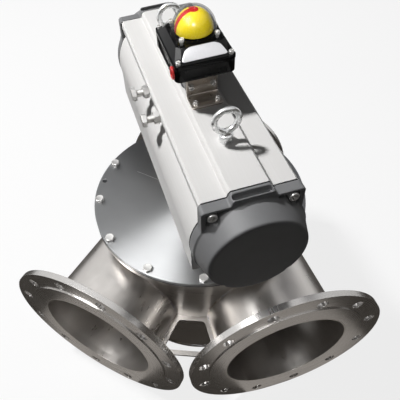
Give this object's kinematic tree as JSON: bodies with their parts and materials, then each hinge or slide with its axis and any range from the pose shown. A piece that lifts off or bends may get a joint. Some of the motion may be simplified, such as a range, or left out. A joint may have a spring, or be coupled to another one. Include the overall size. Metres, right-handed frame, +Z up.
{
  "type": "flow diverter valve",
  "caption": "Two-way flow diverter valve with a drum housing, a rear inlet, angled twin outlets, a segment rotor, a rack and pinion actuator and a position switch box.",
  "frame": {"origin": "centre of the inlet flange in the plane of its bolting face, 2 mm behind the raised face", "axes": "+Y out of the inlet along the inlet pipe, +Z up along the rotor shaft, +X to the right seen from the outlets"},
  "size_m": [0.7492, 0.6328, 0.753],
  "materials": {
    "stainless": "satin, brushed stainless steel",
    "shaft_steel": "machined steel",
    "fastener_steel": "bright stainless steel",
    "zinc": "bright zinc plating",
    "anodised": "hard anodised aluminium, matt light grey",
    "cast_aluminium": "machined aluminium",
    "cap_paint": "matt dark grey powder coat",
    "box_black": "gloss black",
    "dome_clear": "clear polycarbonate",
    "indicator_yellow": "yellow",
    "indicator_red": "red",
    "plug_red": "red",
    "inner_plastic": "dark bearing plastic",
    "seal_rubber": "black rubber",
    "plate_silver": "bare silver plate"
  },
  "bodies": {
    "housing": {"housing_drum": "stainless", "drum_top_flange": "stainless", "drum_bottom_plate": "stainless", "inlet_pipe": "stainless", "inlet_flange": "stainless", "outlet_leg_left": "stainless", "outlet_leg_right": "stainless", "outlet_flange_left": "stainless", "outlet_flange_right": "stainless", "leg_gusset": "stainless", "cover_gasket": "seal_rubber", "top_cover": "stainless", "cover_bolts": "fastener_steel", "upper_bearing_housing": "stainless", "lower_bearing_housing": "stainless", "bearing_bolts": "fastener_steel", "shaft_bushes": "inner_plastic", "shaft_seal": "seal_rubber", "mounting_bracket": "stainless", "bracket_bolts": "fastener_steel", "actuator_body": "anodised", "end_cap_near": "cap_paint", "end_cap_far": "cap_paint", "end_cap_gaskets": "seal_rubber", "end_cap_screws": "fastener_steel", "pinion_bushes": "inner_plastic", "stop_bolts": "fastener_steel", "stop_lock_nuts": "fastener_steel", "eye_bolt_near": "zinc", "eye_bolt_far": "zinc", "box_bracket_near": "fastener_steel", "box_bracket_far": "fastener_steel", "box_bracket_screws": "fastener_steel", "switch_box_base": "box_black", "switch_box_cover": "box_black", "switch_box_screws": "fastener_steel", "clear_dome": "dome_clear", "microswitches": "inner_plastic", "conduit_plugs": "plug_red", "label_plate": "plate_silver"},
    "rotor": {"rotor_upper_disc": "stainless", "rotor_lower_disc": "stainless", "rotor_segment": "stainless", "segment_seal": "seal_rubber", "rotor_deflector": "stainless", "upper_shaft": "shaft_steel", "lower_shaft": "shaft_steel", "shaft_coupling": "shaft_steel", "pinion": "shaft_steel", "stop_cam": "shaft_steel", "indicator_spindle": "shaft_steel", "switch_cams": "inner_plastic", "indicator_cap": "indicator_yellow", "indicator_sector": "indicator_red"},
    "near_piston": {"piston_near": "cast_aluminium", "piston_rings_near": "seal_rubber"},
    "far_piston": {"piston_far": "cast_aluminium", "piston_rings_far": "seal_rubber"}
  },
  "joints": [
    {"name": "rotor_turn", "type": "hinge", "parent": "housing", "child": "rotor", "pos_m": [0, -0.255, 0], "axis": [0, 0, 1], "range_deg": [0, 90]},
    {"name": "near_piston_slide", "type": "slide", "parent": "housing", "child": "near_piston", "axis": [0.3827, -0.9239, 0], "range_m": [0, 0.06284]},
    {"name": "far_piston_slide", "type": "slide", "parent": "housing", "child": "far_piston", "axis": [-0.3827, 0.9239, 0], "range_m": [0, 0.06284]}
  ],
  "couplings": [
    {"joint": "near_piston_slide", "follows": "rotor_turn", "m_per_rad": 0.04},
    {"joint": "far_piston_slide", "follows": "rotor_turn", "m_per_rad": 0.04}
  ]
}
